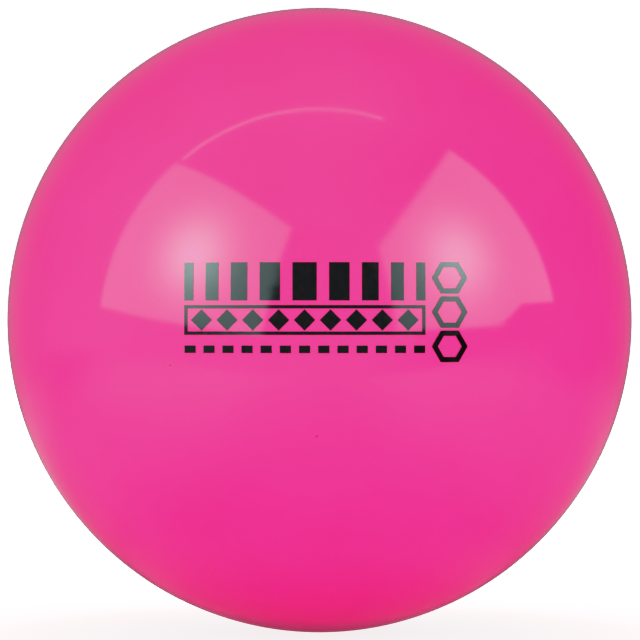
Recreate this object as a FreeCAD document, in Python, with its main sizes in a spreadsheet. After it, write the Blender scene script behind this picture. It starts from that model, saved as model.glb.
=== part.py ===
"""A field hockey ball of the smooth, seamless-cover kind, taken apart on the bench.

From the middle outwards: a moulded cork-and-rubber nucleus, five quilting layers that each hold six
cork slips under a yarn winding, a binding of fine twine, a skin of bonding coat, two moulded cover
cups that meet at the parting plane, and a printed mark on the front cup.

The origin is the ball's centre, +Z is up, and the mark faces -Y. The parting plane of the two cups
is the XZ plane, so the mark lies round the front cup's pole. All sizes are in millimetres.
"""

import FreeCAD
import Part
import Sketcher
import math
import os

from FreeCAD import Placement, Rotation, Vector

QUILT_LAYERS = 5

DIMENSIONS = {
    # The whole ball. Play allows a girth of 224 to 235 mm.
    "ball_diameter": 73.0,
    # The quilted centre.
    "nucleus_diameter": 28.0,
    "cork_thickness": 1.5,
    "yarn_thickness": 1.6,
    "slip_half_angle": 43.8,
    "slip_corner_angle": 50.5,
    "layer_turn": 37.0,
    "binding_thickness": 0.6,
    "bonding_thickness": 0.15,
    # The witness line that is left where the two cups meet.
    "witness_depth": 0.06,
    # The printed mark, measured on the flat artwork before it wraps round the cup. Each centre is
    # across from the ball's centre, and each level is above it.
    "ink_thickness": 0.05,
    "rows_length": 26.0,
    "rows_centre": -1.6,
    "bar_height": 4.1,
    "bar_level": 4.15,
    "bar_widest": 2.6,
    "bar_step": 0.4,
    "band_height": 3.2,
    "band_line": 0.36,
    "band_level": 0.0,
    "lozenge_radius": 1.15,
    "lozenge_pitch": 2.78,
    "dash_length": 1.2,
    "dash_height": 0.8,
    "dash_pitch": 2.06,
    "dash_level": -3.15,
    "badge_centre": 14.05,
    "badge_level": 0.85,
    "badge_height": 3.4,
    "badge_pitch": 3.7,
    "badge_line": 0.65,
}

# How far the cutting tools run past what they cut.
TOOL_REACH = 45.0
TOOL_START = 20.0

BARS_EACH_SIDE = 4
LOZENGES = 9
DASHES = 13
BADGES = 3

# The six ways out from the centre along which the slips are laid, in opposite pairs.
SLIP_TURNS = (
    Rotation(Vector(1, 0, 0), 0),
    Rotation(Vector(1, 0, 0), 180),
    Rotation(Vector(1, 0, 0), 90),
    Rotation(Vector(1, 0, 0), -90),
    Rotation(Vector(0, 1, 0), 90),
    Rotation(Vector(0, 1, 0), -90),
)

NUCLEUS_RADIUS = "Dimensions.nucleus_diameter / 2"
LAYER_THICKNESS = "(Dimensions.cork_thickness + Dimensions.yarn_thickness)"
QUILT_RADIUS = f"{NUCLEUS_RADIUS} + {QUILT_LAYERS} * {LAYER_THICKNESS}"
BINDING_RADIUS = f"{QUILT_RADIUS} + Dimensions.binding_thickness"
CORE_RADIUS = f"{BINDING_RADIUS} + Dimensions.bonding_thickness"
BALL_RADIUS = "Dimensions.ball_diameter / 2"


# ---------------------------------------------------------------- the document and its helpers


def write_dimensions(doc):
    """The driving dimensions, one to a row: its name, and its value in the cell with that alias."""
    sheet = doc.addObject("Spreadsheet::Sheet", "Dimensions")
    for row, (alias, value) in enumerate(DIMENSIONS.items(), start=1):
        sheet.set(f"A{row}", alias)
        sheet.set(f"B{row}", str(value))
        sheet.setAlias(f"B{row}", alias)
    doc.recompute()


def add(doc, kind, name, **bound):
    """A new object whose named properties are bound to expressions on the sheet."""
    made = doc.addObject(kind, name)
    for prop, expression in bound.items():
        made.setExpression(prop, expression)
    return made


def boolean(doc, kind, name, base, tool):
    made = doc.addObject(kind, name)
    made.Base = base
    made.Tool = tool
    return made


def compound(doc, name, members):
    made = doc.addObject("Part::Compound", name)
    made.Links = members
    return made


def hollow_ball(doc, name, inner, outer):
    """A closed spherical wall between two radii, each given as an expression."""
    outside = add(doc, "Part::Sphere", f"{name}_outside", Radius=outer)
    inside = add(doc, "Part::Sphere", f"{name}_inside", Radius=inner)
    return boolean(doc, "Part::Cut", name, outside, inside)


# ---------------------------------------------------------------- revolved bodies


def revolved_body(doc, label, draw):
    """A body made by turning one sketch a full turn about the ball's Y axis."""
    body = doc.addObject("PartDesign::Body", label)
    sketch = body.newObject("Sketcher::SketchObject", f"{label}_profile")
    planes = {part.Role: part for part in body.Origin.OriginFeatures}
    sketch.AttachmentSupport = [(planes["XY_Plane"], "")]
    sketch.MapMode = "FlatFace"
    draw(sketch)
    doc.recompute()
    turned = body.newObject("PartDesign::Revolution", f"{label}_revolution")
    turned.Profile = sketch
    turned.ReferenceAxis = (sketch, ["V_Axis"])
    turned.Angle = 360.0
    body.Tip = turned
    return body


def arc(sketch, radius, start, end):
    """An arc about the sketch's origin, from one angle to another in degrees, held to that centre."""
    circle = Part.Circle(Vector(0, 0, 0), Vector(0, 0, 1), radius)
    edge = sketch.addGeometry(Part.ArcOfCircle(circle, math.radians(start), math.radians(end)))
    sketch.addConstraint(Sketcher.Constraint("Coincident", edge, 3, -1, 1))
    return edge


def line(sketch, start, end):
    return sketch.addGeometry(Part.LineSegment(Vector(*start, 0), Vector(*end, 0)))


def join(sketch, first, first_end, second, second_end):
    sketch.addConstraint(Sketcher.Constraint("Coincident", first, first_end, second, second_end))


def on_axis(sketch, edge, end, axis):
    """Holds an edge's end to the sketch's X axis (-1) or Y axis (-2)."""
    sketch.addConstraint(Sketcher.Constraint("PointOnObject", edge, end, axis))


def dimension(sketch, name, expression, *what):
    """A named dimension on the sketch, bound to the sheet."""
    index = sketch.addConstraint(Sketcher.Constraint(*what))
    sketch.renameConstraint(index, name)
    sketch.setExpression(f"Constraints.{name}", expression)


def draw_nucleus(sketch):
    """Half a disc on the axis."""
    radius = DIMENSIONS["nucleus_diameter"] / 2
    rim = arc(sketch, radius, -90, 90)
    axis = line(sketch, (0, radius), (0, -radius))
    join(sketch, rim, 2, axis, 1)
    join(sketch, axis, 2, rim, 1)
    on_axis(sketch, rim, 1, -2)
    on_axis(sketch, rim, 2, -2)
    dimension(sketch, "radius", NUCLEUS_RADIUS, "Radius", rim, radius)


def draw_wall(sketch, inner, outer, inner_expression, outer_expression):
    """Half a ring on the axis, which turns into a closed spherical wall."""
    outside = arc(sketch, outer, -90, 90)
    inside = arc(sketch, inner, -90, 90)
    top = line(sketch, (0, outer), (0, inner))
    bottom = line(sketch, (0, -inner), (0, -outer))
    join(sketch, outside, 2, top, 1)
    join(sketch, top, 2, inside, 2)
    join(sketch, inside, 1, bottom, 1)
    join(sketch, bottom, 2, outside, 1)
    for edge in (outside, inside):
        on_axis(sketch, edge, 1, -2)
        on_axis(sketch, edge, 2, -2)
    dimension(sketch, "outer_radius", outer_expression, "Radius", outside, outer)
    dimension(sketch, "inner_radius", inner_expression, "Radius", inside, inner)


def draw_cup(sketch, side, inner, outer):
    """A quarter ring on one side of the parting plane, its outer rim edge broken for the witness line.

    side is -1 for the front cup and 1 for the back one.
    """
    depth = DIMENSIONS["witness_depth"]
    rim_x = math.sqrt(outer**2 - depth**2)
    rim_angle = math.degrees(math.asin(depth / outer))
    start, end = sorted((side * 90.0, side * rim_angle))
    outside = arc(sketch, outer, start, end)
    inside = arc(sketch, inner, min(side * 90, 0), max(side * 90, 0))
    pole_end, rim_end = (1, 2) if side < 0 else (2, 1)
    axis = line(sketch, (0, side * outer), (0, side * inner))
    rim = line(sketch, (inner, 0), (outer - depth, 0))
    broken_edge = line(sketch, (outer - depth, 0), (rim_x, side * depth))
    join(sketch, outside, pole_end, axis, 1)
    join(sketch, axis, 2, inside, pole_end)
    join(sketch, inside, rim_end, rim, 1)
    join(sketch, rim, 2, broken_edge, 1)
    join(sketch, broken_edge, 2, outside, rim_end)
    for edge in (outside, inside):
        on_axis(sketch, edge, pole_end, -2)
    on_axis(sketch, rim, 1, -1)
    on_axis(sketch, rim, 2, -1)
    dimension(sketch, "outer_radius", BALL_RADIUS, "Radius", outside, outer)
    dimension(sketch, "inner_radius", CORE_RADIUS, "Radius", inside, inner)
    rim_radius = f"{BALL_RADIUS} - Dimensions.witness_depth"
    dimension(sketch, "rim_radius", rim_radius, "DistanceX", -1, 1, rim, 2, outer - depth)
    lower, upper = ((outside, rim_end), (-1, 1)) if side < 0 else ((-1, 1), (outside, rim_end))
    dimension(sketch, "rim_break", "Dimensions.witness_depth", "DistanceY", *lower, *upper, depth)


# ---------------------------------------------------------------- the quilted centre


def slip_outline(doc, number, turn):
    """The space that one cork slip may fill: a square pyramid whose corners a cone rounds off."""
    width = f"{TOOL_REACH} * tan(Dimensions.slip_half_angle * 1 deg)"
    square = add(
        doc,
        "Part::Wedge",
        f"slip_square_{number}",
        Xmin=f"-{width}",
        Xmax=width,
        Zmin=f"-{width}",
        Zmax=width,
    )
    square.Ymin = -TOOL_REACH
    square.Ymax = 0
    square.X2min = 0
    square.X2max = 0
    square.Z2min = 0
    square.Z2max = 0
    square.Placement = Placement(Vector(0, 0, 0), turn.multiply(Rotation(Vector(1, 0, 0), -90)))
    corner = f"{TOOL_REACH} * tan(Dimensions.slip_corner_angle * 1 deg)"
    corners = add(doc, "Part::Cone", f"slip_corners_{number}", Radius2=corner)
    corners.Radius1 = 0
    corners.Height = TOOL_REACH
    corners.Placement = Placement(Vector(0, 0, 0), turn)
    return boolean(doc, "Part::Common", f"slip_outline_{number}", square, corners)


def build_quilting(doc):
    """Five layers, each of six cork slips and the yarn that is wound over and between them."""
    outlines = [slip_outline(doc, number, turn) for number, turn in enumerate(SLIP_TURNS, start=1)]
    slip_space = compound(doc, "slip_space", outlines)
    made = []
    for layer in range(1, QUILT_LAYERS + 1):
        inner = f"{NUCLEUS_RADIUS} + {layer - 1} * {LAYER_THICKNESS}"
        cork_top = f"{inner} + Dimensions.cork_thickness"
        yarn_top = f"{NUCLEUS_RADIUS} + {layer} * {LAYER_THICKNESS}"
        cork_wall = hollow_ball(doc, f"cork_wall_{layer}", inner, cork_top)
        slips = boolean(doc, "Part::Common", f"cork_slips_{layer}", cork_wall, slip_space)
        # Each layer is turned against the one below, so that the gaps between slips never line up.
        slips.Placement = Placement(Vector(0, 0, 0), Rotation(Vector(1, 1, 0), 1))
        slips.setExpression("Placement.Rotation.Angle", f"Dimensions.layer_turn * {layer} * 1 deg")
        layer_wall = hollow_ball(doc, f"layer_wall_{layer}", inner, yarn_top)
        winding = boolean(doc, "Part::Cut", f"yarn_winding_{layer}", layer_wall, slips)
        made += [slips, winding]
    return made


# ---------------------------------------------------------------- the printed mark


def blank(doc, kind, name, across, up, **bound):
    """A piece of the mark's artwork, standing along the Y axis at a place on the flat artwork."""
    made = add(doc, kind, name, **bound)
    if kind == "Part::Box":
        made.Width = TOOL_REACH - TOOL_START
        made.Placement = Placement(Vector(0, -TOOL_REACH, 0), Rotation())
        across = f"{across} - {bound['Length']} / 2"
        up = f"{up} - {bound['Height']} / 2"
    else:
        made.Height = TOOL_REACH - TOOL_START
        made.Placement = Placement(Vector(0, -TOOL_START, 0), Rotation(Vector(1, 0, 0), 90))
    made.setExpression("Placement.Base.x", across)
    made.setExpression("Placement.Base.z", up)
    return made


def places(count):
    """Where each of a row of evenly spaced things stands from the row's middle, in steps."""
    return [number - (count - 1) / 2 for number in range(count)]


def bars(doc):
    """A top row of bold upright bars, widest in the middle and narrower one by one to both ends."""
    n = BARS_EACH_SIDE
    widths = f"({2 * n + 1} * Dimensions.bar_widest - {n * (n + 1)} * Dimensions.bar_step)"
    gap = f"(Dimensions.rows_length - {widths}) / {2 * n}"
    made = []
    for place in range(-n, n + 1):
        narrowing = place * abs(place) / 2
        offset = f"{place} * ({gap} + Dimensions.bar_widest) - {narrowing} * Dimensions.bar_step"
        made.append(
            blank(
                doc,
                "Part::Box",
                f"bar_{place + n + 1}",
                f"Dimensions.rows_centre + {offset}",
                "Dimensions.bar_level",
                Length=f"(Dimensions.bar_widest - {abs(place)} * Dimensions.bar_step)",
                Height="Dimensions.bar_height",
            )
        )
    return made


def band(doc):
    """A middle row: a long outlined band with a row of lozenges in it."""
    inset = "2 * Dimensions.band_line"
    sizes = (
        ("band_outside", "Dimensions.rows_length", "Dimensions.band_height"),
        ("band_hole", f"(Dimensions.rows_length - {inset})", f"(Dimensions.band_height - {inset})"),
    )
    place = ("Dimensions.rows_centre", "Dimensions.band_level")
    edges = [
        blank(doc, "Part::Box", name, *place, Length=length, Height=height)
        for name, length, height in sizes
    ]
    made = [boolean(doc, "Part::Cut", "band", *edges)]
    for number, step in enumerate(places(LOZENGES), start=1):
        lozenge = blank(
            doc,
            "Part::Prism",
            f"lozenge_{number}",
            f"Dimensions.rows_centre + {step} * Dimensions.lozenge_pitch",
            "Dimensions.band_level",
            Circumradius="Dimensions.lozenge_radius",
        )
        lozenge.Polygon = 4
        made.append(lozenge)
    return made


def dashes(doc):
    """A bottom row of small dashes."""
    return [
        blank(
            doc,
            "Part::Box",
            f"dash_{number}",
            f"Dimensions.rows_centre + {place} * Dimensions.dash_pitch",
            "Dimensions.dash_level",
            Length="Dimensions.dash_length",
            Height="Dimensions.dash_height",
        )
        for number, place in enumerate(places(DASHES), start=1)
    ]


def badges(doc):
    """A column of plain hexagon rings to the right of the rows."""
    outer_radius = "Dimensions.badge_height / sqrt(3)"
    hole_radius = f"{outer_radius} - Dimensions.badge_line"
    made = []
    for number, place in enumerate(places(BADGES), start=1):
        level = f"Dimensions.badge_level + {place} * Dimensions.badge_pitch"
        rings = []
        for part, radius in (("outside", outer_radius), ("hole", hole_radius)):
            name = f"badge_{part}_{number}"
            ring = blank(doc, "Part::Prism", name, "Dimensions.badge_centre", level, Circumradius=radius)
            ring.Polygon = 6
            rings.append(ring)
        made.append(boolean(doc, "Part::Cut", f"badge_{number}", *rings))
    return made


def build_mark(doc):
    """The artwork, cut from a thin film of ink that lies on the cover."""
    artwork = compound(doc, "mark_artwork", [*bars(doc), *band(doc), *dashes(doc), *badges(doc)])
    film = hollow_ball(doc, "ink_film", BALL_RADIUS, f"{BALL_RADIUS} + Dimensions.ink_thickness")
    return boolean(doc, "Part::Common", "printed_mark", film, artwork)


# ---------------------------------------------------------------- the whole ball


def build_ball(doc):
    """Every sub-part, in order from the middle outwards."""
    d = DIMENSIONS
    ball = d["ball_diameter"] / 2
    quilt = d["nucleus_diameter"] / 2 + QUILT_LAYERS * (d["cork_thickness"] + d["yarn_thickness"])
    binding = quilt + d["binding_thickness"]
    core = binding + d["bonding_thickness"]
    return [
        revolved_body(doc, "core_nucleus", draw_nucleus),
        *build_quilting(doc),
        revolved_body(
            doc,
            "binding_twine",
            lambda sketch: draw_wall(sketch, quilt, binding, QUILT_RADIUS, BINDING_RADIUS),
        ),
        revolved_body(
            doc,
            "bonding_coat",
            lambda sketch: draw_wall(sketch, binding, core, BINDING_RADIUS, CORE_RADIUS),
        ),
        revolved_body(doc, "cover_cup_front", lambda sketch: draw_cup(sketch, -1, core, ball)),
        revolved_body(doc, "cover_cup_back", lambda sketch: draw_cup(sketch, 1, core, ball)),
        build_mark(doc),
    ]


def check(doc, parts):
    """Stops the build if any object failed, or if a sub-part is empty or not a valid set of solids."""
    for item in doc.Objects:
        if {"Invalid", "Error"} & set(item.State):
            raise RuntimeError(f"{item.Name} did not recompute: {item.State}")
    for part in parts:
        shape = part.Shape
        if shape.isNull() or not shape.isValid() or not shape.Solids:
            raise RuntimeError(f"{part.Label} has no valid solid")


def main():
    doc = FreeCAD.newDocument("HockeyBall")
    write_dimensions(doc)
    parts = build_ball(doc)
    doc.recompute()
    check(doc, parts)
    os.makedirs("parts", exist_ok=True)
    for part in parts:
        part.Shape.exportStep(f"parts/{part.Label}.step")
        volume = sum(solid.Volume for solid in part.Shape.Solids)
        print(f"{part.Label}: {len(part.Shape.Solids)} solids, {volume:.1f} mm3")


main()
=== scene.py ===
"""The looks of a smooth field hockey ball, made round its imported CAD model.

Every piece is in metres, in the model's own frame: the origin is the ball's centre, +Z is up, and the
printed mark faces -Y, where the camera stands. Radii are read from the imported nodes.

The cover cups, the wound yarn and twine, the cork slips, the nucleus and the bonding coat are new
meshes that stand for their CAD nodes. The printed mark is the CAD node with an ink material.
"""

import math

import bmesh
import bpy
import numpy as np
from mathutils import Matrix, Vector, noise


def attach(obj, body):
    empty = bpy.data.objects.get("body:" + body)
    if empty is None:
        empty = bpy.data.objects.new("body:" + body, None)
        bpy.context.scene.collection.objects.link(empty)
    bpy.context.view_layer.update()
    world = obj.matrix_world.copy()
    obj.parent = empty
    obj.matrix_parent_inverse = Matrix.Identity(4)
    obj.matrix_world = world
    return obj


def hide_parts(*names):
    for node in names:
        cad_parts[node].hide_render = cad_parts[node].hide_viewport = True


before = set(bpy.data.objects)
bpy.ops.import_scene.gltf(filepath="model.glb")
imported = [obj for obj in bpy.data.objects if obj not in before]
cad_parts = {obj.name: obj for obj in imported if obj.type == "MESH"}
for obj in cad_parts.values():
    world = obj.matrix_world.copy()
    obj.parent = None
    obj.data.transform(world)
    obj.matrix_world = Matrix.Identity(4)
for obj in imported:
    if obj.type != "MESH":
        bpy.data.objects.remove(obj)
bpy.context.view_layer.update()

MILLIMETRE = 0.001


# ---------------------------------------------------------------- sizes from the frame


def radii(node):
    """The least and the greatest distance of a CAD node's points from the ball's centre."""
    lengths = [vertex.co.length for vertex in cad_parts[node].data.vertices]
    return min(lengths), max(lengths)


CORE_RADIUS, BALL_RADIUS = radii("cover_cup_front")
QUILT_LAYERS = 5


# ---------------------------------------------------------------- camera

LENS_MM = 200.0
SENSOR_MM = 36.0
BALL_SHARE_OF_VIEW = 0.9765
VIEW_SHIFT = 0.00075
NEAREST_SEEN = 0.01


def make_camera():
    """A long lens level with the ball's centre, from which the ball all but fills the view."""
    camera = bpy.data.objects.new("camera", bpy.data.cameras.new("camera"))
    bpy.context.scene.collection.objects.link(camera)
    camera.data.lens = LENS_MM
    camera.data.sensor_width = SENSOR_MM
    camera.data.shift_x = VIEW_SHIFT
    half_view = SENSOR_MM / 2 / LENS_MM
    distance = BALL_RADIUS / math.sin(math.atan(BALL_SHARE_OF_VIEW * half_view))
    camera.location = (0, -distance, 0)
    camera.rotation_euler = (math.radians(90), 0, 0)
    camera.data.clip_start = NEAREST_SEEN
    bpy.context.scene.camera = camera


# ---------------------------------------------------------------- node helpers


def add(tree, kind, inputs=None, **settings):
    """A node of that kind, with its settings, and its unlinked inputs set by name."""
    made = tree.nodes.new(f"ShaderNode{kind}")
    for name, value in settings.items():
        setattr(made, name, value)
    for name, value in (inputs or {}).items():
        made.inputs[name].default_value = value
    return made


def wire(tree, source, target, name):
    """Links a socket, or a node's first output, to a named input, and hands back the target node."""
    output = source.outputs[0] if hasattr(source, "outputs") else source
    tree.links.new(output, target.inputs[name])
    return target


def remap(tree, source, start, end, smooth=True):
    """A value that runs from start[1] where the source is start[0] to end[1] where it is end[0]."""
    ends = {"From Min": start[0], "To Min": start[1], "From Max": end[0], "To Max": end[1]}
    made = add(tree, "MapRange", ends)
    made.interpolation_type = "SMOOTHSTEP" if smooth else "LINEAR"
    tree.links.new(source, made.inputs["Value"])
    return made.outputs["Result"]


def choose(tree, factor, off, on):
    """The value off where the factor is 0, and on where it is 1. Each may be a number or a socket."""
    made = add(tree, "Mix")
    tree.links.new(factor, made.inputs["Factor"])
    for name, value in (("A", off), ("B", on)):
        if isinstance(value, (int, float)):
            made.inputs[name].default_value = value
        else:
            tree.links.new(value, made.inputs[name])
    return made.outputs["Result"]


def maths(tree, operation, first, second=0.0):
    """The result of a Math node. Each input may be a number or a socket."""
    made = add(tree, "Math", operation=operation)
    for socket, value in zip(made.inputs, (first, second)):
        if isinstance(value, (int, float)):
            socket.default_value = value
        else:
            tree.links.new(value, socket)
    return made.outputs["Value"]


def multiply(tree, first, second):
    """The product of two numbers or sockets."""
    return maths(tree, "MULTIPLY", first, second)


def fade(tree, factor, off, on):
    """The shader off where the factor is 0, turning into the shader on where it is 1."""
    made = add(tree, "MixShader")
    wire(tree, factor, made, "Fac")
    tree.links.new(off.outputs[0], made.inputs[1])
    tree.links.new(on.outputs[0], made.inputs[2])
    return made


# ---------------------------------------------------------------- light

LIGHT_DISTANCE = 0.30
SOFTBOXES = {
    # Each softbox's corners and the place of its lamp, as azimuth from the camera (to the right) and
    # elevation, and the radiance of its cloth and of the lamp that shines through it.
    "left": {
        "corners": ((-72.5, 46), (-10.5, 30.5), (-19.5, -5), (-80.8, 3.6)),
        "lamp": (-44.5, 20),
        "cloth": 2.3,
        "hot_spot": 6.0,
    },
    "right": {
        "corners": ((71, 51), (88.5, 4.5), (73.5, 4.5), (63.5, -1.5), (26, -3.5), (21, 24)),
        "lamp": (49, 18.5),
        "cloth": 2.1,
        "hot_spot": 5.2,
    },
}
# How wide a lamp's glow spreads on the cloth, and how abruptly it ends.
LAMP_SPREAD = 0.21
LAMP_EDGE = 1.9
# How far a softbox's soft rim reaches in and out, as a share of the way from its middle, and the name of
# the attribute that fades it.
SOFT_EDGE = 0.045
FILL = "fill"

# The tube is an arc about the line of sight. It leans that far from the camera, and spans those angles.
TUBE_LEAN = 77.0
TUBE_SPAN = (-40.5, 17.5)
TUBE_STEPS = 48
TUBE_WIDTH = 0.0065
TUBE_RADIANCE = 2.6

# The camera's own side of the room, between the softboxes.
GAP_RADIANCE = 0.68
GAP_SIDES = (-32, 32)
GAP_HEIGHTS = (-10, 26.7)
GAP_DISTANCE = 0.40

# How bright the ball reflects the room, as (place, value) pairs: from the middle to the right, and from
# front to back.
ROOM_RIGHTWARDS = ((0.0, 0.98), (1.0, 0.43))
ROOM_BACKWARDS = ((-0.25, 1.0), (0.75, 0.27))
# How bright it is as a light on the ball, from front to back, and as the camera sees it.
ROOM_LIGHT = ((-0.35, 1.22), (0.35, 1.85))
ROOM_SEEN = 3.4


def direction(azimuth, elevation):
    """A unit vector away from the ball. Azimuth 0 is towards the camera and 90 is to its right."""
    a, e = math.radians(azimuth), math.radians(elevation)
    return Vector((math.sin(a) * math.cos(e), -math.cos(a) * math.cos(e), math.sin(e)))


def link_mesh(name, points, faces):
    mesh = bpy.data.meshes.new(name)
    mesh.from_pydata([tuple(point) for point in points], [], faces)
    made = bpy.data.objects.new(name, mesh)
    bpy.context.scene.collection.objects.link(made)
    return made


def glow_only_in_reflections(piece):
    """The ball reflects it, but it lights nothing else and the camera doesn't see it."""
    piece.visible_camera = False
    piece.visible_diffuse = False
    piece.visible_shadow = False


def emission(name):
    """A new material, its tree, and the emission node that is the tree's only node so far."""
    material = bpy.data.materials.new(name)
    material.use_nodes = True
    tree = material.node_tree
    tree.nodes.clear()
    return material, tree, add(tree, "Emission")


def show(tree, shader):
    """Makes a shader the surface of the tree's material."""
    wire(tree, shader, add(tree, "OutputMaterial"), "Surface")


def even_glow(name, radiance):
    """A material that glows alike all over."""
    material, tree, glow = emission(name)
    glow.inputs["Strength"].default_value = radiance
    show(tree, glow)
    return material


def softbox_material(side, box):
    """A diffusion panel with a soft rim. Seen from the ball, it is brightest in front of its lamp."""
    material, tree, glow = emission(f"softbox_{side}")
    way = add(tree, "VectorMath", operation="NORMALIZE")
    wire(tree, add(tree, "NewGeometry").outputs["Position"], way, "Vector")
    away = add(tree, "VectorMath", operation="DISTANCE")
    tree.links.new(way.outputs["Vector"], away.inputs[0])
    away.inputs[1].default_value = direction(*box["lamp"])
    spread = multiply(tree, away.outputs["Value"], 1 / LAMP_SPREAD)
    fall = maths(tree, "POWER", math.exp(-1), maths(tree, "POWER", spread, LAMP_EDGE))
    strength = maths(tree, "ADD", multiply(tree, fall, box["hot_spot"]), box["cloth"])
    wire(tree, strength, glow, "Strength")
    fill = add(tree, "Attribute", attribute_name=FILL).outputs["Fac"]
    show(tree, fade(tree, remap(tree, fill, (0, 0), (1, 1)), add(tree, "BsdfTransparent"), glow))
    return material


def soft_edged_panel(name, corners):
    """A panel with a rim, across which its fill rises from 0 to 1."""
    count = len(corners)
    middle = sum(corners, Vector()) / count
    rings = [middle + (corner - middle) * (1 + SOFT_EDGE * way) for way in (1, -1) for corner in corners]
    rim = [(at, (at + 1) % count, (at + 1) % count + count, at + count) for at in range(count)]
    panel = link_mesh(name, rings, [*rim, list(range(count, 2 * count))])
    fill = panel.data.attributes.new(FILL, "FLOAT", "POINT")
    fill.data.foreach_set("value", [0.0] * count + [1.0] * count)
    return panel


def make_softboxes():
    for side, box in SOFTBOXES.items():
        corners = [direction(*corner) * LIGHT_DISTANCE for corner in box["corners"]]
        panel = soft_edged_panel(f"softbox_{side}", corners)
        panel.data.materials.append(softbox_material(side, box))
        glow_only_in_reflections(panel)


def make_tube():
    """A thin lamp tube that bows over the ball, a little towards the camera from its middle."""
    points = []
    for step in range(TUBE_STEPS + 1):
        turn = math.radians(TUBE_SPAN[0] + (TUBE_SPAN[1] - TUBE_SPAN[0]) * step / TUBE_STEPS)
        for edge in (-0.5, 0.5):
            lean = math.radians(TUBE_LEAN) + edge * TUBE_WIDTH / LIGHT_DISTANCE
            way = Vector((math.sin(turn) * math.sin(lean), -math.cos(lean), math.cos(turn) * math.sin(lean)))
            points.append(way * LIGHT_DISTANCE)
    faces = [(2 * step, 2 * step + 1, 2 * step + 3, 2 * step + 2) for step in range(TUBE_STEPS)]
    tube = link_mesh("lamp_tube", points, faces)
    tube.data.materials.append(even_glow("lamp_tube", TUBE_RADIANCE))
    glow_only_in_reflections(tube)


def make_gap():
    """The darker side of the room round the camera, which the ball reflects between the softboxes."""
    (left, right), (low, high) = GAP_SIDES, GAP_HEIGHTS
    ways = ((left, low), (right, low), (right, high), (left, high))
    gap = link_mesh("camera_side", [direction(*way) * GAP_DISTANCE for way in ways], [(0, 1, 2, 3)])
    gap.data.materials.append(even_glow("camera_side", GAP_RADIANCE))
    glow_only_in_reflections(gap)


def make_room():
    """A white tent that lights the ball evenly. In its reflections the tent dims to the right and behind."""
    world = bpy.data.worlds.new("room")
    bpy.context.scene.world = world
    world.use_nodes = True
    tree = world.node_tree
    tree.nodes.clear()
    paths = add(tree, "LightPath")
    way = add(tree, "SeparateXYZ")
    wire(tree, add(tree, "TexCoord").outputs["Generated"], way, "Vector")
    rightwards = remap(tree, way.outputs["X"], *ROOM_RIGHTWARDS)
    backwards = remap(tree, way.outputs["Y"], *ROOM_BACKWARDS)
    reflected = multiply(tree, rightwards, backwards)
    light = remap(tree, way.outputs["Y"], *ROOM_LIGHT)
    unseen = choose(tree, paths.outputs["Is Glossy Ray"], light, reflected)
    background = add(tree, "Background")
    wire(tree, choose(tree, paths.outputs["Is Camera Ray"], unseen, ROOM_SEEN), background, "Strength")
    wire(tree, background, add(tree, "OutputWorld"), "Surface")


# ---------------------------------------------------------------- floor

FLOOR_SIDE = 6.0
FLOOR_ALBEDO = 0.9
# A pair below gives a value at two places on the floor, as (place, value). A place is a distance from the
# ball's centre, to its right (across) or to its back.
# How bright the ball reflects the floor, as factors that are multiplied together.
FLOOR_SHADE = ((0.05, 0.66), (0.12, 1.07))  # by distance
FLOOR_CONTACT = ((0.041, 1.75), (0.05, 1.0))  # by distance, close to where the ball stands
FLOOR_LEFT = ((-0.25, 0.65), (-0.05, 1.0))  # across, on the left
FLOOR_RIGHT = ((0.0, 0.95), (0.2, 0.47))  # across, on the right
FLOOR_MIDDLE = ((0.0, 0.68), (0.055, 1.0))  # by distance to either side of the middle
FLOOR_DEPTH = ((-0.07, 1.0), (0.03, 0.31))  # front to back
# How strongly the floor glows: to the camera, as a light on the ball, and in the ball's reflections.
FLOOR_GLOW_SEEN = ((0.037, 1.0), (0.06, 1.42))
FLOOR_GLOW_UNDER = 0.32
FLOOR_GLOW_REFLECTED = ((0.0372, 0.08), (0.0415, 0.0))
# How far the floor has turned into the room, from 0 to 1: to the camera by distance, and in reflections
# at its front edge and by distance.
FLOOR_FADE = ((0.06, 0), (0.24, 1))
FLOOR_FRONT_EDGE = ((-0.126, 1), (-0.106, 0))
FLOOR_FAR_EDGE = ((0.12, 0), (0.4, 1))


def floor_reflected(tree, distance, across):
    """How bright the ball reflects each place on the floor."""
    factors = (
        remap(tree, distance, *FLOOR_SHADE, smooth=False),
        remap(tree, distance, *FLOOR_CONTACT),
        remap(tree, across.outputs["X"], *FLOOR_LEFT),
        remap(tree, across.outputs["X"], *FLOOR_RIGHT, smooth=False),
        remap(tree, maths(tree, "ABSOLUTE", across.outputs["X"]), *FLOOR_MIDDLE),
        remap(tree, across.outputs["Y"], *FLOOR_DEPTH),
    )
    reflected = 1.0
    for factor in factors:
        reflected = multiply(tree, reflected, factor)
    return reflected


def floor_glow(tree, paths, distance):
    """How strongly each place on the floor glows, for each kind of ray."""
    near = remap(tree, distance, *FLOOR_GLOW_SEEN)
    seen = choose(tree, remap(tree, distance, *FLOOR_FADE), near, ROOM_SEEN)
    under = multiply(tree, paths.outputs["Is Diffuse Ray"], FLOOR_GLOW_UNDER)
    contact = remap(tree, distance, *FLOOR_GLOW_REFLECTED)
    reflected = multiply(tree, paths.outputs["Is Glossy Ray"], contact)
    return choose(tree, paths.outputs["Is Camera Ray"], maths(tree, "ADD", under, reflected), seen)


def floor_gone(tree, paths, distance, across):
    """How far a reflection sees the room in place of the floor: past its front edge, and far off."""
    past_front = remap(tree, across.outputs["Y"], *FLOOR_FRONT_EDGE)
    far_off = remap(tree, distance, *FLOOR_FAR_EDGE)
    gone = maths(tree, "MAXIMUM", past_front, far_off)
    return multiply(tree, gone, paths.outputs["Is Glossy Ray"])


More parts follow.
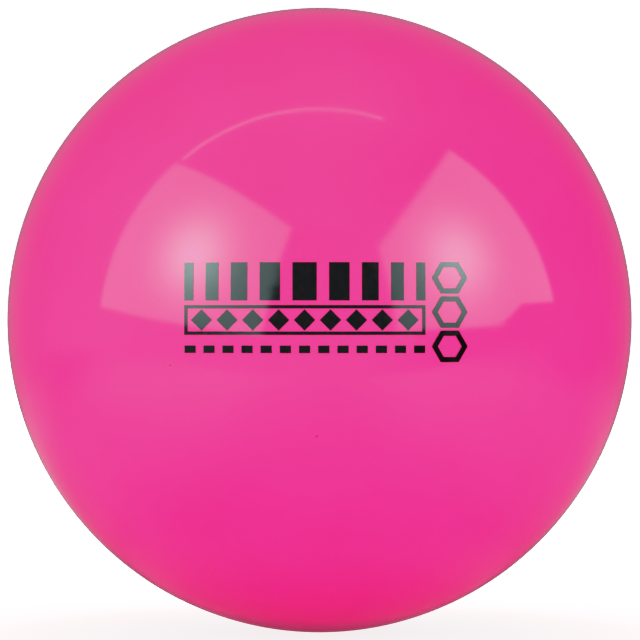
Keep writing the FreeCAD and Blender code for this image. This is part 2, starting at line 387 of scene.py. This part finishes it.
def floor_material():
    """White paper that glows a little, as a light table does."""
    material, tree, glow = emission("floor")
    paths = add(tree, "LightPath")
    place = add(tree, "NewGeometry").outputs["Position"]
    across = wire(tree, place, add(tree, "SeparateXYZ"), "Vector")
    distance = wire(tree, place, add(tree, "VectorMath", operation="LENGTH"), "Vector").outputs["Value"]
    shade = choose(tree, paths.outputs["Is Glossy Ray"], 1, floor_reflected(tree, distance, across))
    paper = add(tree, "BsdfDiffuse")
    wire(tree, multiply(tree, shade, FLOOR_ALBEDO), paper, "Color")
    wire(tree, floor_glow(tree, paths, distance), glow, "Strength")
    both = add(tree, "AddShader")
    tree.links.new(paper.outputs[0], both.inputs[0])
    tree.links.new(glow.outputs[0], both.inputs[1])
    gone = floor_gone(tree, paths, distance, across)
    show(tree, fade(tree, gone, both, add(tree, "BsdfTransparent")))
    return material


def make_floor():
    """A plain white floor under the ball, which fades into the room's own white further out.

    The ball reflects it only as far as a table's front edge, and sees it fade into the room further out,
    so that no horizon shows in the gloss.
    """
    half = FLOOR_SIDE / 2
    corners = [(x, y, -BALL_RADIUS) for x, y in ((-half, -half), (half, -half), (half, half), (-half, half))]
    floor = link_mesh("floor", corners, [(0, 1, 2, 3)])
    floor.data.materials.append(floor_material())


# ---------------------------------------------------------------- camera response

# How the camera answers light, as (scene light, picture value) with a soft shoulder.
CAMERA_RANGE = 3.0
CAMERA_RESPONSE = (
    (0, 0),
    (0.03, 0.004),
    (0.06, 0.036),
    (0.09, 0.072),
    (0.14, 0.13),
    (0.33, 0.325),
    (0.6, 0.53),
    (0.75, 0.75),
    (0.95, 0.83),
    (1.2, 0.865),
    (1.43, 0.89),
    (2.0, 0.93),
    (2.4, 1),
    (CAMERA_RANGE, 1),
)


def set_camera_response():
    settings = bpy.context.scene.view_settings
    settings.view_transform = "Standard"
    settings.use_curve_mapping = True
    mapping = settings.curve_mapping
    mapping.white_level = (CAMERA_RANGE,) * 3
    curve = mapping.curves[3]
    curve.points[0].location = CAMERA_RESPONSE[0]
    curve.points[1].location = (1, 1)
    for light, value in CAMERA_RESPONSE[1:-1]:
        curve.points.new(light / CAMERA_RANGE, value)
    for point in curve.points:
        point.handle_type = "VECTOR"
    mapping.update()


# ---------------------------------------------------------------- cover cups

AROUND = 256
OUTER_STEPS = 120
INNER_STEPS = 48
RIM_STEPS = 6
BREAK_STEPS = 5
WITNESS_DEPTH = 0.06 * MILLIMETRE
FLOW_HEIGHT = 0.003 * MILLIMETRE
FLOW_SIZE = 6 * MILLIMETRE
SHARP_ANGLE = math.radians(40)


def cup_section():
    """Half a cup's section as (distance from the axis, height above the parting plane) points.

    It runs from the outer pole down to the broken rim edge, across the rim and up to the inner pole.
    """
    rounded = BALL_RADIUS - WITNESS_DEPTH
    last = math.acos(WITNESS_DEPTH / BALL_RADIUS)
    section = []
    for step in range(OUTER_STEPS):
        angle = last * step / OUTER_STEPS
        section.append((BALL_RADIUS * math.sin(angle), BALL_RADIUS * math.cos(angle)))
    for step in range(BREAK_STEPS + 1):
        angle = math.radians(90) * step / BREAK_STEPS
        section.append((rounded + WITNESS_DEPTH * math.cos(angle), WITNESS_DEPTH * (1 - math.sin(angle))))
    for step in range(1, RIM_STEPS):
        section.append((rounded + (CORE_RADIUS - rounded) * step / RIM_STEPS, 0.0))
    for step in range(INNER_STEPS + 1):
        angle = math.radians(90) * (1 - step / INNER_STEPS)
        section.append((CORE_RADIUS * math.sin(angle), CORE_RADIUS * math.cos(angle)))
    return section


def revolve(name, section, side):
    """Turns a section about the Y axis. side is -1 for a pole that faces -Y and 1 for +Y."""
    points = [(0.0, side * section[0][1], 0.0)]
    rings = section[1:-1]
    for away, height in rings:
        for step in range(AROUND):
            turn = 2 * math.pi * step / AROUND
            points.append((away * math.cos(turn), side * height, away * math.sin(turn)))
    points.append((0.0, side * section[-1][1], 0.0))
    last = len(points) - 1
    faces = []
    for step in range(AROUND):
        following = (step + 1) % AROUND
        faces.append((0, 1 + step, 1 + following))
        for ring in range(len(rings) - 1):
            here = 1 + ring * AROUND
            below = here + AROUND
            faces.append((here + step, below + step, below + following, here + following))
        inner = last - AROUND
        faces.append((inner + step, last, inner + following))
    if side > 0:
        faces = [tuple(reversed(face)) for face in faces]
    return link_mesh(name, points, faces)


def flow_marks(cup):
    """The faint waviness of a moulded skin, on the outside only."""
    for vertex in cup.data.vertices:
        if vertex.co.length > BALL_RADIUS - WITNESS_DEPTH / 4:
            wave = noise.noise(vertex.co / FLOW_SIZE)
            vertex.co *= 1 + FLOW_HEIGHT * wave / BALL_RADIUS


def smooth(piece):
    """Shades a piece smooth, apart from its sharp edges."""
    piece.data.polygons.foreach_set("use_smooth", [True] * len(piece.data.polygons))
    piece.data.set_sharp_from_angle(angle=SHARP_ANGLE)


def dress(piece, node, material):
    """Finishes a piece that stands for a CAD node: its shading, its material and its place."""
    smooth(piece)
    piece.data.materials.append(material)
    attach(piece, "root")
    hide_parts(node)


def make_cups(material):
    """The two moulded cups of the cover, which meet at the parting plane."""
    for side, name in ((-1, "front"), (1, "back")):
        node = f"cover_cup_{name}"
        cup = revolve(f"{node}_skin", cup_section(), side)
        flow_marks(cup)
        dress(cup, node, material)


def make_mark(material):
    """The printed mark is the CAD node itself, in ink."""
    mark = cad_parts["printed_mark"]
    mark.data.materials.clear()
    mark.data.materials.append(material)


# ---------------------------------------------------------------- wound strands

# Each strand has its thickness, how many times over its turns cover the layer, how many turns are laid
# side by side, how a turn is divided along and round the strand, and the length of one twist.
YARN = {
    "thickness": 1.0 * MILLIMETRE,
    "times_over": 4.3,
    "bundle": 3,
    "segments": 56,
    "sides": 6,
    "pitch": 2.4 * MILLIMETRE,
}
TWINE = {
    "thickness": 0.5 * MILLIMETRE,
    "times_over": 3.4,
    "bundle": 2,
    "segments": 46,
    "sides": 5,
    "pitch": 1.3 * MILLIMETRE,
}
STRAND_MAP = "strand"
BUNDLE_LOOSE = 1.05
WINDING_WOBBLE = 0.08 * MILLIMETRE
WOBBLES_PER_TURN = 3
GOLDEN_TURN = math.pi * (3 - math.sqrt(5))


def unit(ways):
    """The same ways, each one long."""
    return ways / np.linalg.norm(ways, axis=-1, keepdims=True)


def spread_axes(count, draw):
    """Evenly spread axes over half a sphere, in a shuffled order."""
    height = (np.arange(count) + 0.5) / count
    around = GOLDEN_TURN * np.arange(count)
    away = np.sqrt(1 - height**2)
    axes = np.stack([away * np.cos(around), away * np.sin(around), height], axis=-1)
    return axes[draw.permutation(count)]


def turn_axes(turns, bundle, fan, draw):
    """The axis of every turn. Turns are laid in bundles, side by side and a fan angle apart."""
    middles = spread_axes(math.ceil(turns / bundle), draw)
    hinges = unit(np.cross(middles, draw.normal(size=middles.shape)))
    leans = (np.arange(bundle) - (bundle - 1) / 2) * fan
    across = np.cross(hinges, middles)
    axes = middles[:, None] * np.cos(leans)[:, None] + across[:, None] * np.sin(leans)[:, None]
    return axes.reshape(-1, 3)[:turns]


def turn_points(axes, inner, outer, thickness, segments, sides, draw):
    """The points of a tube round each turn, as an array of turns, segments, sides and coordinates."""
    start = unit(np.cross(axes, draw.normal(size=axes.shape)))
    across = np.cross(axes, start)
    angle = 2 * math.pi * np.arange(segments) / segments
    out = np.cos(angle)[:, None] * start[:, None] + np.sin(angle)[:, None] * across[:, None]
    lowest, highest = inner + thickness / 2, outer - thickness / 2
    climb = np.linspace(lowest, highest, len(axes))[:, None]
    phase = draw.uniform(0, 2 * math.pi, size=(len(axes), 1))
    radius = np.clip(climb + WINDING_WOBBLE * np.sin(WOBBLES_PER_TURN * angle + phase), lowest, highest)
    rim = 2 * math.pi * np.arange(sides) / sides
    outward = (radius[:, :, None] + thickness / 2 * np.cos(rim))[..., None]
    sideways = (thickness / 2 * np.sin(rim))[:, None]
    return out[:, :, None] * outward + axes[:, None, None] * sideways


def tube_faces(turns, segments, sides):
    """The quads that close every turn's tube on itself."""
    turn, along, around = np.meshgrid(np.arange(turns), np.arange(segments), np.arange(sides), indexing="ij")
    first = turn * segments * sides
    here, ahead = along * sides, (along + 1) % segments * sides
    beside = (around + 1) % sides
    corners = (first + here + around, first + ahead + around, first + ahead + beside, first + here + beside)
    return np.stack(corners, axis=-1).reshape(-1, 4)


def tube_map(turns, segments, sides, twists):
    """The strand map: how many twists along the strand, and how far round it, at each face's corners."""
    _, along, around = np.meshgrid(np.arange(turns), np.arange(segments), np.arange(sides), indexing="ij")
    corners = ((along, around), (along + 1, around), (along + 1, around + 1), (along, around + 1))
    places = [np.stack([u * twists / segments, v / sides], axis=-1) for u, v in corners]
    return np.stack(places, axis=-2).reshape(-1)


def make_winding(node, material, inner, outer, strand, seed):
    """A layer of strand wound between two radii. Twice the radius over the thickness covers it once."""
    thickness, segments, sides = strand["thickness"], strand["segments"], strand["sides"]
    middle = (inner + outer) / 2
    turns = round(2 * strand["times_over"] * middle / thickness)
    draw = np.random.default_rng(seed)
    axes = turn_axes(turns, strand["bundle"], BUNDLE_LOOSE * thickness / middle, draw)
    points = turn_points(axes, inner, outer, thickness, segments, sides, draw)
    wound = link_mesh(f"{node}_strands", points.reshape(-1, 3), tube_faces(turns, segments, sides).tolist())
    twists = round(2 * math.pi * middle / strand["pitch"])
    strand_map = wound.data.uv_layers.new(name=STRAND_MAP)
    strand_map.data.foreach_set("uv", tube_map(turns, segments, sides, twists).astype(np.float32))
    dress(wound, node, material)


def make_windings(yarn, twine):
    """The yarn over each layer of slips, and the fine twine that binds them all."""
    for layer in range(1, QUILT_LAYERS + 1):
        inner, outer = radii(f"cork_slips_{layer}")[1], radii(f"yarn_winding_{layer}")[1]
        make_winding(f"yarn_winding_{layer}", yarn, inner, outer, YARN, seed=layer)
    inner, outer = radii("binding_twine")
    make_winding("binding_twine", twine, inner, outer, TWINE, seed=QUILT_LAYERS + 1)


# ---------------------------------------------------------------- cork slips

SLIP_HALF_ANGLE = math.radians(43.8)
SLIP_CORNER_ANGLE = math.radians(50.5)
LAYER_TURN = math.radians(37.0)
SLIP_CELL = 0.5 * MILLIMETRE
# A slip's edges are rounded off. The higher the power, the closer to the edge the rounding starts.
SLIP_ROUNDING = 0.25 * MILLIMETRE
ROUNDING_POWER = 14
# A pore opens where the noise is above PORE_FROM.
PORE_SIZE = 1.3 * MILLIMETRE
PORE_DEPTH = 0.25 * MILLIMETRE
PORE_FROM = 0.15

# The six ways out from the centre along which the slips are laid, in opposite pairs, as axis and degrees.
SLIP_TURNS = (("X", 0), ("X", 180), ("X", 90), ("X", -90), ("Y", 90), ("Y", -90))


def slip_grid(steps):
    """Ways out over a square slip about +Z with rounded corners, and how near the slip's edge each is."""
    ticks = np.linspace(-1, 1, steps + 1)
    across, up = np.meshgrid(ticks, ticks, indexing="ij")
    x, y = np.tan(across * SLIP_HALF_ANGLE), np.tan(up * SLIP_HALF_ANGLE)
    kept = np.minimum(1, math.tan(SLIP_CORNER_ANGLE) / np.maximum(np.hypot(x, y), 1e-9))
    ways = unit(np.stack([x * kept, y * kept, np.ones_like(x)], axis=-1))
    return ways.reshape(-1, 3), np.maximum(abs(across), abs(up)).reshape(-1)


def slip_faces(steps):
    """The quads of one slip: its top, its underside and the four edges between them."""
    side = steps + 1
    under = side * side
    row, column = np.meshgrid(np.arange(steps), np.arange(steps), indexing="ij")
    corner = (row * side + column).reshape(-1)
    top = np.stack([corner, corner + side, corner + side + 1, corner + 1], axis=-1)
    rim = [
        *(place for place in range(steps)),
        *(place * side + steps for place in range(steps)),
        *(steps * side + steps - place for place in range(steps)),
        *((steps - place) * side for place in range(steps)),
    ]
    edges = [(here, ahead, ahead + under, here + under) for here, ahead in zip(rim, rim[1:] + rim[:1])]
    return [*top.tolist(), *(top[:, ::-1] + under).tolist(), *edges]


def pores(points):
    """How deep the pores are at each point of a slip's face."""
    deep = np.array([noise.noise(Vector(point) / PORE_SIZE) for point in points.tolist()])
    return PORE_DEPTH * np.clip((deep - PORE_FROM) / (1 - PORE_FROM), 0, 1)


def make_slips(material):
    """Six porous cork slips to a layer, each layer turned against the one below."""
    for layer in range(1, QUILT_LAYERS + 1):
        node = f"cork_slips_{layer}"
        inner, outer = radii(node)
        steps = round(2 * SLIP_HALF_ANGLE * outer / SLIP_CELL)
        ways, edge = slip_grid(steps)
        rounding = SLIP_ROUNDING * edge**ROUNDING_POWER
        layer_turn = Matrix.Rotation(LAYER_TURN * layer, 3, Vector((1, 1, 0)))
        points, faces = [], []
        for axis, degrees in SLIP_TURNS:
            turn = np.array(layer_turn @ Matrix.Rotation(math.radians(degrees), 3, axis))
            turned = ways @ turn.T
            top = turned * (outer - rounding - pores(turned * outer))[:, None]
            under = turned * (inner + rounding)[:, None]
            faces += [[corner + len(points) for corner in face] for face in slip_faces(steps)]
            points += [*top.tolist(), *under.tolist()]
        dress(link_mesh(f"{node}_cut", points, faces), node, material)


# ---------------------------------------------------------------- nucleus and bonding coat

GRANULE_SIZE = 2.4 * MILLIMETRE
GRANULE_GROOVE = 0.12 * MILLIMETRE
GRANULE_EDGE = 0.5 * MILLIMETRE
FINE_BALL = 6
COARSE_BALL = 5
COAT_RIPPLE = 0.05 * MILLIMETRE
COAT_RIPPLE_SIZE = 1.2 * MILLIMETRE


def ball_skin(mesh, radius, fineness, inside_out=False):
    """Adds a round skin of even triangles to a bmesh, and hands back its points."""
    skin = bmesh.ops.create_icosphere(mesh, subdivisions=fineness, radius=radius)["verts"]
    if inside_out:
        faces = {face for vertex in skin for face in vertex.link_faces}
        bmesh.ops.reverse_faces(mesh, faces=list(faces))
    return skin


def link_bmesh(name, mesh):
    made = link_mesh(name, [], [])
    mesh.to_mesh(made.data)
    mesh.free()
    return made


def make_nucleus(material):
    """The moulded middle, with a shallow groove between its cork granules."""
    mesh = bmesh.new()
    for vertex in ball_skin(mesh, radii("core_nucleus")[1], FINE_BALL):
        nearest, second = noise.voronoi(vertex.co / GRANULE_SIZE)[0][:2]
        inset = max(0, 1 - (second - nearest) * GRANULE_SIZE / GRANULE_EDGE)
        vertex.co *= 1 - GRANULE_GROOVE * inset**2 / vertex.co.length
    dress(link_bmesh("core_nucleus_granules", mesh), "core_nucleus", material)


def make_bonding_coat(material):
    """The thin skin of latex over the twine, rippled outside where it was brushed on."""
    inner, outer = radii("bonding_coat")
    mesh = bmesh.new()
    for vertex in ball_skin(mesh, outer, FINE_BALL):
        ripple = noise.noise(vertex.co / COAT_RIPPLE_SIZE)
        vertex.co *= 1 - COAT_RIPPLE * (1 - ripple) / 2 / vertex.co.length
    ball_skin(mesh, inner, COARSE_BALL, inside_out=True)
    dress(link_bmesh("bonding_coat_skin", mesh), "bonding_coat", material)


# ---------------------------------------------------------------- materials

# Tones are ramp stops, as (place, colour). Edges and glosses are remap pairs, as (place, value).


def principled(name, **values):
    """A material with a Principled shader whose even values are set on its own sockets."""
    material = bpy.data.materials.new(name)
    material.use_nodes = True
    tree = material.node_tree
    shader = tree.nodes["Principled BSDF"]
    for socket, value in values.items():
        shader.inputs[socket.replace("_", " ")].default_value = value
    return material, tree, shader


def ramp(tree, factor, *stops):
    """A colour that runs through the stops, each (place, colour), as the factor rises."""
    made = add(tree, "ValToRGB")
    elements = made.color_ramp.elements
    while len(elements) < len(stops):
        elements.new(0.5)
    for element, (place, colour) in zip(elements, stops):
        element.position = place
        element.color = (*colour, 1)
    tree.links.new(factor, made.inputs["Fac"])
    return made.outputs["Color"]


def spotted(tree, colour, factor, spot):
    """A colour socket with spots of one even colour where the factor is 1."""
    made = add(tree, "MixRGB", {"Color2": (*spot, 1)})
    wire(tree, factor, made, "Fac")
    wire(tree, colour, made, "Color1")
    return made.outputs["Color"]


def patches(tree, size, detail=2.0, stretch=(1, 1, 1)):
    """Soft noise from 0 to 1 with features of that size in metres, stretched along the ball's own axes."""
    scaled = add(tree, "Mapping")
    tree.links.new(add(tree, "TexCoord").outputs["Object"], scaled.inputs["Vector"])
    scaled.inputs["Scale"].default_value = stretch
    made = add(tree, "TexNoise", {"Scale": 1 / size, "Detail": detail})
    tree.links.new(scaled.outputs["Vector"], made.inputs["Vector"])
    return made.outputs["Fac"]


def grains(tree, size, feature="F1"):
    """How far the nearest of many scattered points is, or with DISTANCE_TO_EDGE the nearest cell's edge."""
    made = add(tree, "TexVoronoi", {"Scale": 1 / size}, feature=feature)
    tree.links.new(add(tree, "TexCoord").outputs["Object"], made.inputs["Vector"])
    return made.outputs["Distance"]


def bump(tree, shader, height, depth, base=None):
    """Adds relief to a shader, as deep as depth where the height falls from 1 to 0."""
    made = add(tree, "Bump", {"Distance": depth})
    tree.links.new(height, made.inputs["Height"])
    if base is not None:
        tree.links.new(base, made.inputs["Normal"])
    tree.links.new(made.outputs["Normal"], shader.inputs["Normal"])
    return made.outputs["Normal"]


PINK_TONES = (
    (0.3, (0.92, 0.041, 0.259)),
    (0.5, (0.93, 0.0425, 0.265)),
    (0.7, (0.94, 0.044, 0.271)),
)
BLOOM_SIZE = 9 * MILLIMETRE
SPECK = (0.5, 0.02, 0.13)
SPECK_SPACING = 11 * MILLIMETRE
SPECK_EDGE = ((0.008, 1), (0.016, 0))
POLISH = 0.068
RUBBED = 0.1
RUB_SIZE = 14 * MILLIMETRE
RUB_GLOSS = ((0.35, POLISH), (0.7, RUBBED))
SCUFF_EDGE = ((0.5, 0), (0.62, 1))
HAIR_SIZE = 5 * MILLIMETRE
HAIR_STRETCH = (0.25, 1, 1.6)
HAIR_EDGE = ((0, 1), (0.006, 0))
HAIR_DEPTH = 0.0012 * MILLIMETRE
PEEL_SIZE = 2.2 * MILLIMETRE
PEEL_DEPTH = 0.0022 * MILLIMETRE


def cover_plastic():
    """Glossy pigmented vinyl, with a faint bloom in its pink, a few specks, rubbed spots and hairlines."""
    material, tree, shader = principled("cover_plastic", IOR=1.5)
    pink = ramp(tree, patches(tree, BLOOM_SIZE, detail=4), *PINK_TONES)
    speck = remap(tree, grains(tree, SPECK_SPACING), *SPECK_EDGE)
    wire(tree, spotted(tree, pink, speck, SPECK), shader, "Base Color")

    rubbed = patches(tree, RUB_SIZE, detail=6)
    hair_lines = maths(tree, "SUBTRACT", patches(tree, HAIR_SIZE, 1, HAIR_STRETCH), 0.5)
    hair = remap(tree, maths(tree, "ABSOLUTE", hair_lines), *HAIR_EDGE)
    hair = multiply(tree, hair, remap(tree, rubbed, *SCUFF_EDGE))
    roughness = remap(tree, rubbed, *RUB_GLOSS)
    wire(tree, maths(tree, "ADD", roughness, multiply(tree, hair, RUBBED)), shader, "Roughness")
    peel = bump(tree, shader, patches(tree, PEEL_SIZE, detail=1), PEEL_DEPTH)
    bump(tree, shader, maths(tree, "SUBTRACT", 1.0, hair), HAIR_DEPTH, base=peel)
    return material


INK_TONES = ((0.35, (0.010, 0.0015, 0.003)), (0.75, (0.016, 0.003, 0.005)))
INK_SHEEN = (0.68, 1, 0.97, 1)
INK_PATCH = 0.7 * MILLIMETRE
INK_GLOSS = ((0.3, 0.08), (0.7, 0.13))
INK_RIPPLE = 0.002 * MILLIMETRE


def ink():
    """Pad-printed ink that dried glossy, a little thin in places."""
    material, tree, shader = principled("ink", IOR=1.5, Specular_IOR_Level=0.62, Specular_Tint=INK_SHEEN)
    cover = patches(tree, INK_PATCH, detail=3)
    wire(tree, ramp(tree, cover, *INK_TONES), shader, "Base Color")
    wire(tree, remap(tree, cover, *INK_GLOSS), shader, "Roughness")
    bump(tree, shader, cover, INK_RIPPLE)
    return material


YARN_TONES = (
    (0.2, (0.22, 0.17, 0.11)),
    (0.55, (0.44, 0.365, 0.26)),
    (0.95, (0.67, 0.59, 0.455)),
)
TWINE_TONES = (
    (0.2, (0.24, 0.18, 0.1)),
    (0.55, (0.46, 0.36, 0.225)),
    (0.95, (0.7, 0.6, 0.43)),
)
PLIES = 2
# Painted shade in the grooves between plies: the tone falls to a fifth of itself at the bottom of a groove
# and is full over the ply's crown.
PLY_GROOVE_SHADE = ((0, 0.2), (0.5, 1))
# How deep the grooves between plies are, as a share of the strand's thickness.
PLY_DEPTH = 0.1
DYE_SIZE = 4 * MILLIMETRE
DYE_EDGE = ((0.3, 0.7), (0.7, 1.0))


def spun_fibre(name, tones, thickness):
    """Twisted yarn or twine: pale plies with painted shade darkening the grooves between them, and uneven in
    tone.
    """
    material, tree, shader = principled(name, Roughness=0.9, Sheen_Weight=0.15, Sheen_Roughness=0.5)
    place = add(tree, "SeparateXYZ")
    wire(tree, add(tree, "UVMap", uv_map=STRAND_MAP), place, "Vector")
    twist = maths(tree, "ADD", place.outputs["X"], multiply(tree, place.outputs["Y"], PLIES))
    ply = maths(tree, "ABSOLUTE", maths(tree, "SINE", multiply(tree, twist, math.pi)))
    dye = remap(tree, patches(tree, DYE_SIZE, detail=5), *DYE_EDGE)
    # The dye's patches are the fibre's own tone; the darkening in the ply grooves is painted shade.
    shade = multiply(tree, dye, remap(tree, ply, *PLY_GROOVE_SHADE))
    wire(tree, ramp(tree, shade, *tones), shader, "Base Color")
    bump(tree, shader, ply, PLY_DEPTH * thickness)
    return material


def yarn_fibre():
    return spun_fibre("yarn", YARN_TONES, YARN["thickness"])


def twine_fibre():
    return spun_fibre("twine", TWINE_TONES, TWINE["thickness"])


CORK_TONES = (
    (0.3, (0.3, 0.155, 0.066)),
    (0.5, (0.5, 0.29, 0.135)),
    (0.7, (0.62, 0.4, 0.21)),
)
CORK_GRAIN = 0.55 * MILLIMETRE
GROWTH_SIZE = 7 * MILLIMETRE
GROWTH_STRETCH = (0.5, 2.0, 1.0)
# How much of cork's tone comes from its grain, and the rest comes from its growth bands.
GRAIN_SHARE = 0.7
# How high the grain stands in cork's relief, as a share of the relief's depth.
GRAIN_RELIEF = 0.4
CORK_PORE = (0.075, 0.032, 0.014)
PORE_SPACING = 2.6 * MILLIMETRE
PORE_STRETCH = (1.0, 2.2, 1.0)
PORE_EDGE = ((0.6, 0), (0.68, 1))


def cork():
    """Cut cork: close tan grain, with darker bands of growth and dark, drawn-out pores."""
    material, tree, shader = principled("cork", Roughness=0.85)
    grain = patches(tree, CORK_GRAIN, detail=3)
    growth = patches(tree, GROWTH_SIZE, detail=2, stretch=GROWTH_STRETCH)
    growth_tone = multiply(tree, growth, 1 - GRAIN_SHARE)
    tone = maths(tree, "ADD", multiply(tree, grain, GRAIN_SHARE), growth_tone)
    pore = remap(tree, patches(tree, PORE_SPACING, detail=4, stretch=PORE_STRETCH), *PORE_EDGE)
    colour = spotted(tree, ramp(tree, tone, *CORK_TONES), pore, CORK_PORE)
    wire(tree, colour, shader, "Base Color")
    bump(tree, shader, maths(tree, "SUBTRACT", multiply(tree, grain, GRAIN_RELIEF), pore), PORE_DEPTH)
    return material


GRANULE_TONES = (
    (0.1, (0.16, 0.075, 0.03)),
    (0.5, (0.36, 0.195, 0.085)),
    (0.9, (0.52, 0.32, 0.16)),
)
# How much of a granule's tone is its own, and how much comes from its grain.
GRANULE_OWN = 0.7
GRANULE_GRAINY = 0.4
GRANULE_GRAIN = 0.5 * MILLIMETRE
BINDER = (0.022, 0.016, 0.012)
BINDER_EDGE = ((0.02, 1), (0.09, 0))


def cork_rubber():
    """Cork granules, each of its own tone, moulded in dark rubber."""
    material, tree, shader = principled("cork_rubber", Roughness=0.75)
    cells = add(tree, "TexVoronoi", {"Scale": 1 / GRANULE_SIZE})
    wire(tree, add(tree, "TexCoord").outputs["Object"], cells, "Vector")
    own_tone = add(tree, "SeparateXYZ")
    wire(tree, cells.outputs["Color"], own_tone, "Vector")
    grain = patches(tree, GRANULE_GRAIN, detail=4)
    own = multiply(tree, own_tone.outputs["X"], GRANULE_OWN)
    tone = maths(tree, "ADD", own, multiply(tree, grain, GRANULE_GRAINY))
    binder = remap(tree, grains(tree, GRANULE_SIZE, "DISTANCE_TO_EDGE"), *BINDER_EDGE)
    colour = spotted(tree, ramp(tree, tone, *GRANULE_TONES), binder, BINDER)
    wire(tree, colour, shader, "Base Color")
    granule = maths(tree, "SUBTRACT", 1.0, binder)
    bump(tree, shader, maths(tree, "ADD", granule, multiply(tree, grain, GRAIN_RELIEF)), GRANULE_GROOVE)
    return material


LATEX_TONES = ((0.3, (0.56, 0.33, 0.11)), (0.7, (0.65, 0.42, 0.17)))
LATEX_GLOSS = ((0.3, 0.3), (0.7, 0.48))
BRUSH_SIZE = 5 * MILLIMETRE
BRUSH_STRETCH = (1, 0.4, 1)
LATEX_GRAIN = 0.6 * MILLIMETRE
LATEX_RELIEF = 0.03 * MILLIMETRE


def bonding_latex():
    """Brushed amber latex, a little thicker and glossier in places."""
    material, tree, shader = principled("bonding_latex", Coat_Weight=0.2, Coat_Roughness=0.3)
    brushed = patches(tree, BRUSH_SIZE, detail=4, stretch=BRUSH_STRETCH)
    wire(tree, ramp(tree, brushed, *LATEX_TONES), shader, "Base Color")
    wire(tree, remap(tree, brushed, *LATEX_GLOSS), shader, "Roughness")
    bump(tree, shader, patches(tree, LATEX_GRAIN, detail=3), LATEX_RELIEF)
    return material


# ---------------------------------------------------------------- the whole scene

make_camera()
make_softboxes()
make_tube()
make_gap()
make_room()
make_floor()
make_nucleus(cork_rubber())
make_slips(cork())
make_windings(yarn_fibre(), twine_fibre())
make_bonding_coat(bonding_latex())
make_cups(cover_plastic())
make_mark(ink())
set_camera_response()
